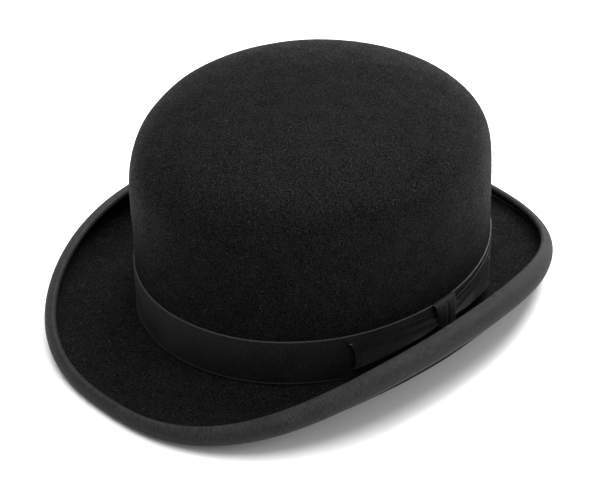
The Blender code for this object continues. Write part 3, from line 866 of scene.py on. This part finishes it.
def cloth_strip(name, low, high, offset, thickness, material, rows=8, angles=None):
    """A thin strip inside the crown, between two heights over the break."""
    closed = angles is None
    if closed:
        angles = np.linspace(0, FULL_TURN, 360, endpoint=False)
    outer, inner, cloth = [], [], []
    for above in np.linspace(high, low, rows):
        level = break_height(angles) + above
        ripple = 0.00006 * np.sin(90 * angles + 400 * above)
        outer.append(on_crown(angles, level, offset))
        inner.append(on_crown(angles, level, offset - thickness + ripple))
        cloth.append(np.stack([angles * CROWN_HALF_WIDTH, np.full(len(angles), above), 0 * angles], -1))
    if closed:
        cloth = np.concatenate([*cloth, *cloth[::-1]]) * 1000
        return add_ring(name, outer + inner[::-1], material, cloth=cloth)
    return add_slab(name, outer, inner, material, cloth)


def make_sweatband_thread(material):
    angles = np.linspace(0, FULL_TURN, 900, endpoint=False)
    level = break_height(angles) + SEAM_HEIGHT
    path = on_crown(angles, level, -sweatband_offset(0) - LEATHER - 0.0001)
    out = on_crown(angles, level, -1.0) - on_crown(angles, level, 0.0)
    return add_stitches("sweatband_stitches", path, out, 0.0021, 0.0030, 0.0002, material)


def make_lining_side(material):
    """The side panel, gathered into soft pleats towards the tip."""
    columns = 1440
    angles = np.linspace(0, FULL_TURN, columns, endpoint=False)
    low = break_height(angles) + LINING_START
    levels = WALL_TOP + (CROWN_TOP - WALL_TOP) * np.sin(np.radians(np.linspace(LINING_SEAM_TURN, 0, 30)))
    rows = [np.full(columns, level) for level in levels]
    rows += [WALL_TOP + (low - WALL_TOP) * share for share in np.linspace(0, 1, 30)[1:]]
    outer, inner, cloth = [], [], []
    pleats = np.abs(np.sin(angles * 42 + 0.6 * np.sin(5 * angles))) ** 0.7
    for index, level in enumerate(rows):
        share = index / (len(rows) - 1)
        depth = 0.0016 * (1 - share) ** 1.5 + 0.0002
        tuck = pleats * depth * min(1, index / 3)
        outer.append(on_crown(angles, level, -FELT - GAP))
        inner.append(on_crown(angles, level, -FELT - GAP - LINING - tuck))
        cloth.append(np.stack([angles * CROWN_HALF_WIDTH, np.full(columns, share * 0.06), 0 * angles], -1))
    coordinates = np.concatenate([*cloth, *cloth[::-1]]) * 1000
    return add_ring("lining_side_satin", outer + inner[::-1], material, cloth=coordinates)


def make_lining_tip(material):
    """The oval tip panel, with a corded edge where the side panel joins it."""
    columns = 512
    angles = np.linspace(0, FULL_TURN, columns, endpoint=False)
    turns = np.linspace(87.5, LINING_SEAM_TURN + 0.9, 40)
    outer, inner, cloth = [], [], []
    for turn in turns:
        level = np.full(columns, WALL_TOP + (CROWN_TOP - WALL_TOP) * math.sin(math.radians(turn)))
        point = crown_point(angles, level)
        cord = 0.0009 * math.exp(-(((turn - LINING_SEAM_TURN - 1.6) / 0.55) ** 2))
        sag = 0.0010 * (0.5 + 0.5 * np.tanh((turn - 60) / 8)) + swell(point, 0.05, 0.0002, 21)
        outer.append(on_crown(angles, level, -FELT - GAP))
        inner.append(on_crown(angles, level, -FELT - GAP - LINING - cord - np.maximum(sag, 0)))
        cloth.append(point * [1, 1, 0])
    top = CROWN_TOP - FELT - GAP
    tops = [[0, CROWN_Y + CROWN_LEAN, top], [0, CROWN_Y + CROWN_LEAN, top - LINING - 0.001]]
    coordinates = np.concatenate([*cloth, *cloth, np.zeros((2, 3))]) * 1000
    return add_dome("lining_tip_satin", outer, inner, tops, material, cloth=coordinates)


def make_sweatband_bow(material):
    """A small flat bow over the leather's rear joint, which marks the back of the hat."""
    columns, rows = 121, 21
    across = np.linspace(-1, 1, columns)
    angles = math.pi + across * REAR_BOW_HALF_WIDTH / CROWN_HALF_LENGTH
    foot = BREAK_HEIGHT - BREAK_TILT
    face = -float(sweatband_offset(SWEATBAND_STEP)) - LEATHER - GAP
    half = 0.0018 + 0.0030 * np.abs(across) ** 0.8
    knot = np.exp(-((across / 0.10) ** 4))
    outer, inner, cloth = [], [], []
    for down in np.linspace(-1, 1, rows):
        notch = 1 - 0.07 * (1 - abs(down))
        turned = math.pi + (angles - math.pi) * (1 - (1 - notch) * np.abs(across) ** 8)
        level = foot + 0.0128 + half * down * (1 + 0.25 * knot)
        rib = 0.5 + 0.5 * np.cos(across * 75)
        fold = 0.0006 * (1 - np.abs(across)) * np.sin(7 * down) ** 2
        stand = 0.0007 + 0.0009 * knot + fold + 0.00008 * rib
        outer.append(on_crown(turned, level, face + 0 * stand))
        inner.append(on_crown(turned, level, face - stand))
        cloth.append(np.stack([across * REAR_BOW_HALF_WIDTH, half * down, 0 * across], -1))
    return add_slab("sweatband_bow_ribbon", outer, inner, material, cloth)


def make_size_label(material):
    """A blank paper label with clipped corners, stuck to the leather."""
    columns, rows = 33, 19
    radius = CROWN_HALF_LENGTH - 0.004
    foot = BREAK_HEIGHT - BREAK_TILT
    face = -float(sweatband_offset(SWEATBAND_STEP)) - LEATHER - GAP + 0.0002
    outer, inner = [], []
    for down in np.linspace(0.5, -0.5, rows):
        corner = np.clip((abs(down) - 0.38) / 0.12, 0, 1) ** 2 * 0.10
        across = np.linspace(-0.5 + corner, 0.5 - corner, columns)
        angles = math.pi - LABEL_TURN + across * LABEL_WIDTH / radius
        curl = 0.0004 * np.abs(across * 2) ** 6
        level = foot + LABEL_LIFT + LABEL_HEIGHT * down
        outer.append(on_crown(angles, level + 0 * angles, face - 0.0001))
        inner.append(on_crown(angles, level + 0 * angles, face - 0.0003 - curl))
    return add_slab("size_label_paper", outer, inner, material)


def place(piece, node):
    """Every piece rides on the hat and stands for its CAD node."""
    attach(piece, "root")
    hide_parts(node)
    return piece


felt = felt_material()
binding_cloth = grosgrain_material("binding_grosgrain", (0.0208, 0.0206, 0.0208), 0.55)
band_cloth = grosgrain_material("band_grosgrain", (0.0135, 0.0133, 0.0134), 0.6)
thread = thread_material()
leather = leather_material()
satin = satin_material()
cotton = cotton_material()

place(make_felt_body(felt), "felt_body")
nap = make_nap(nap_material())
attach(nap, "root")
binding, binding_length = make_brim_binding(binding_cloth)
place(binding, "brim_binding")
place(make_binding_thread(thread), "binding_thread")
band, band_length = make_hat_band(band_cloth)
place(band, "hat_band")
front_wing = make_wing("bow_front_wing", KNOT_FRONT, BOW_FRONT, band_cloth, 1.0)
place(front_wing, "bow_ribbon")
rear_wing = make_wing("bow_rear_wing", KNOT_REAR, BOW_REAR, band_cloth, 2.2)
place(rear_wing, "bow_ribbon")
wrap = place(make_bow_knot(band_cloth), "bow_knot")
place(make_tack("bow_front_stitch", BOW_FRONT + TACK_INSET, thread), "bow_tack_front")
place(make_tack("bow_rear_stitch", BOW_REAR - TACK_INSET, thread), "bow_tack_rear")
sweatband = place(make_sweatband(leather), "sweatband")
place(make_reed(reed_material()), "sweatband_reed")
tape = cloth_strip("reed_tape_cloth", 0.0005, REED_TAPE_HEIGHT - 0.001, -FELT - GAP, LINING, cotton)
place(tape, "reed_tape")
place(make_sweatband_thread(thread), "sweatband_thread")
joint_angles = math.pi + np.linspace(-0.5, 0.5, 61) * JOINT_TAPE_WIDTH / CROWN_HALF_LENGTH
behind = -(FELT + GAP + LINING + GAP + LINING * 0.1)
thickness = LINING * 0.9
joint = cloth_strip("joint_tape_cloth", 0.022, 0.048, behind, thickness, cotton, 60, joint_angles)
place(joint, "sweatband_joint_tape")
place(make_sweatband_bow(band_cloth), "sweatband_bow")
side_lining = place(make_lining_side(satin), "lining_side")
tip_lining = place(make_lining_tip(satin), "lining_tip")
label = place(make_size_label(label_material()), "size_label")


# The stage: a white sweep, soft light and the camera


def make_floor():
    mesh = bpy.data.meshes.new("floor")
    mesh.from_pydata([(-6, -6, 0), (6, -6, 0), (6, 6, 0), (-6, 6, 0)], [], [(0, 1, 2, 3)])
    n = Nodes("white_paper", 0.9, Specular_IOR_Level=0.1)
    grain = n.noise(n.place(), 0.02, 2)
    mesh.materials.append(n.finish(n.mix(grain, (0.80, 0.80, 0.80), (0.84, 0.84, 0.84))))
    floor = bpy.data.objects.new("floor", mesh)
    bpy.context.scene.collection.objects.link(floor)


def add_light(name, where, size, power):
    data = bpy.data.lights.new(name, "AREA")
    data.shape = "DISK"
    data.size = size
    data.energy = power
    light = bpy.data.objects.new(name, data)
    light.location = where
    aim = Vector((0, 0, 0.05)) - Vector(where)
    light.rotation_mode = "QUATERNION"
    light.rotation_quaternion = aim.to_track_quat("-Z", "Y")
    bpy.context.scene.collection.objects.link(light)


def make_camera(azimuth, elevation, roll, distance, lens, aim):
    """A camera on a line from the aim point, at these angles."""
    a, e = math.radians(azimuth), math.radians(elevation)
    back = Vector((math.sin(a) * math.cos(e), -math.cos(a) * math.cos(e), math.sin(e)))
    right = Vector((math.cos(a), math.sin(a), 0))
    up = back.cross(right)
    turn = math.radians(roll)
    turned_right = right * math.cos(turn) + up * math.sin(turn)
    turned_up = up * math.cos(turn) - right * math.sin(turn)
    data = bpy.data.cameras.new("camera")
    data.lens = lens
    data.sensor_width = 36
    camera = bpy.data.objects.new("camera", data)
    target = Vector((0, 0, 0.06)) + turned_right * aim[0] + turned_up * aim[1]
    axes = Matrix((turned_right, turned_up, back)).transposed()
    camera.matrix_world = Matrix.Translation(target + back * distance) @ axes.to_4x4()
    bpy.context.scene.collection.objects.link(camera)
    bpy.context.scene.camera = camera


def seen_from_camera(right, up, towards):
    """A place given by the camera's right, the world's up and the way to the camera."""
    a = math.radians(CAMERA_AZIMUTH)
    across = Vector((math.cos(a), math.sin(a), 0))
    near = Vector((math.sin(a), -math.cos(a), 0))
    return across * right + near * towards + Vector((0, 0, up))


def make_sky():
    """A sky that is dim at the horizon and bright overhead."""
    world = bpy.data.worlds.new("studio")
    world.use_nodes = True
    sky = world.node_tree
    direction = sky.nodes.new("ShaderNodeTexCoord").outputs["Generated"]
    split = sky.nodes.new("ShaderNodeSeparateXYZ")
    glow = sky.nodes.new("ShaderNodeMapRange")
    sky.links.new(direction, split.inputs[0])
    sky.links.new(split.outputs["Z"], glow.inputs["Value"])
    glow.inputs["To Min"].default_value = 0.1
    glow.inputs["To Max"].default_value = 0.8
    sky.links.new(glow.outputs["Result"], sky.nodes["Background"].inputs["Strength"])
    sky.nodes["Background"].inputs["Color"].default_value = (1, 1, 1, 1)
    bpy.context.scene.world = world


CAMERA_AZIMUTH = 45.19
make_floor()
make_camera(CAMERA_AZIMUTH, elevation=35.14, roll=-0.29, distance=1.1962, lens=133.7,
            aim=(-0.00164, -0.01948))
add_light("overhead", seen_from_camera(-0.1, 2.1, -0.1), 2.2, 66)
add_light("behind", seen_from_camera(0.75, 1.5, -1.25), 1.2, 72)
add_light("fill", seen_from_camera(1.6, 0.8, 0.7), 1.2, 14)
make_sky()
bpy.context.scene.view_settings.view_transform = "Standard"
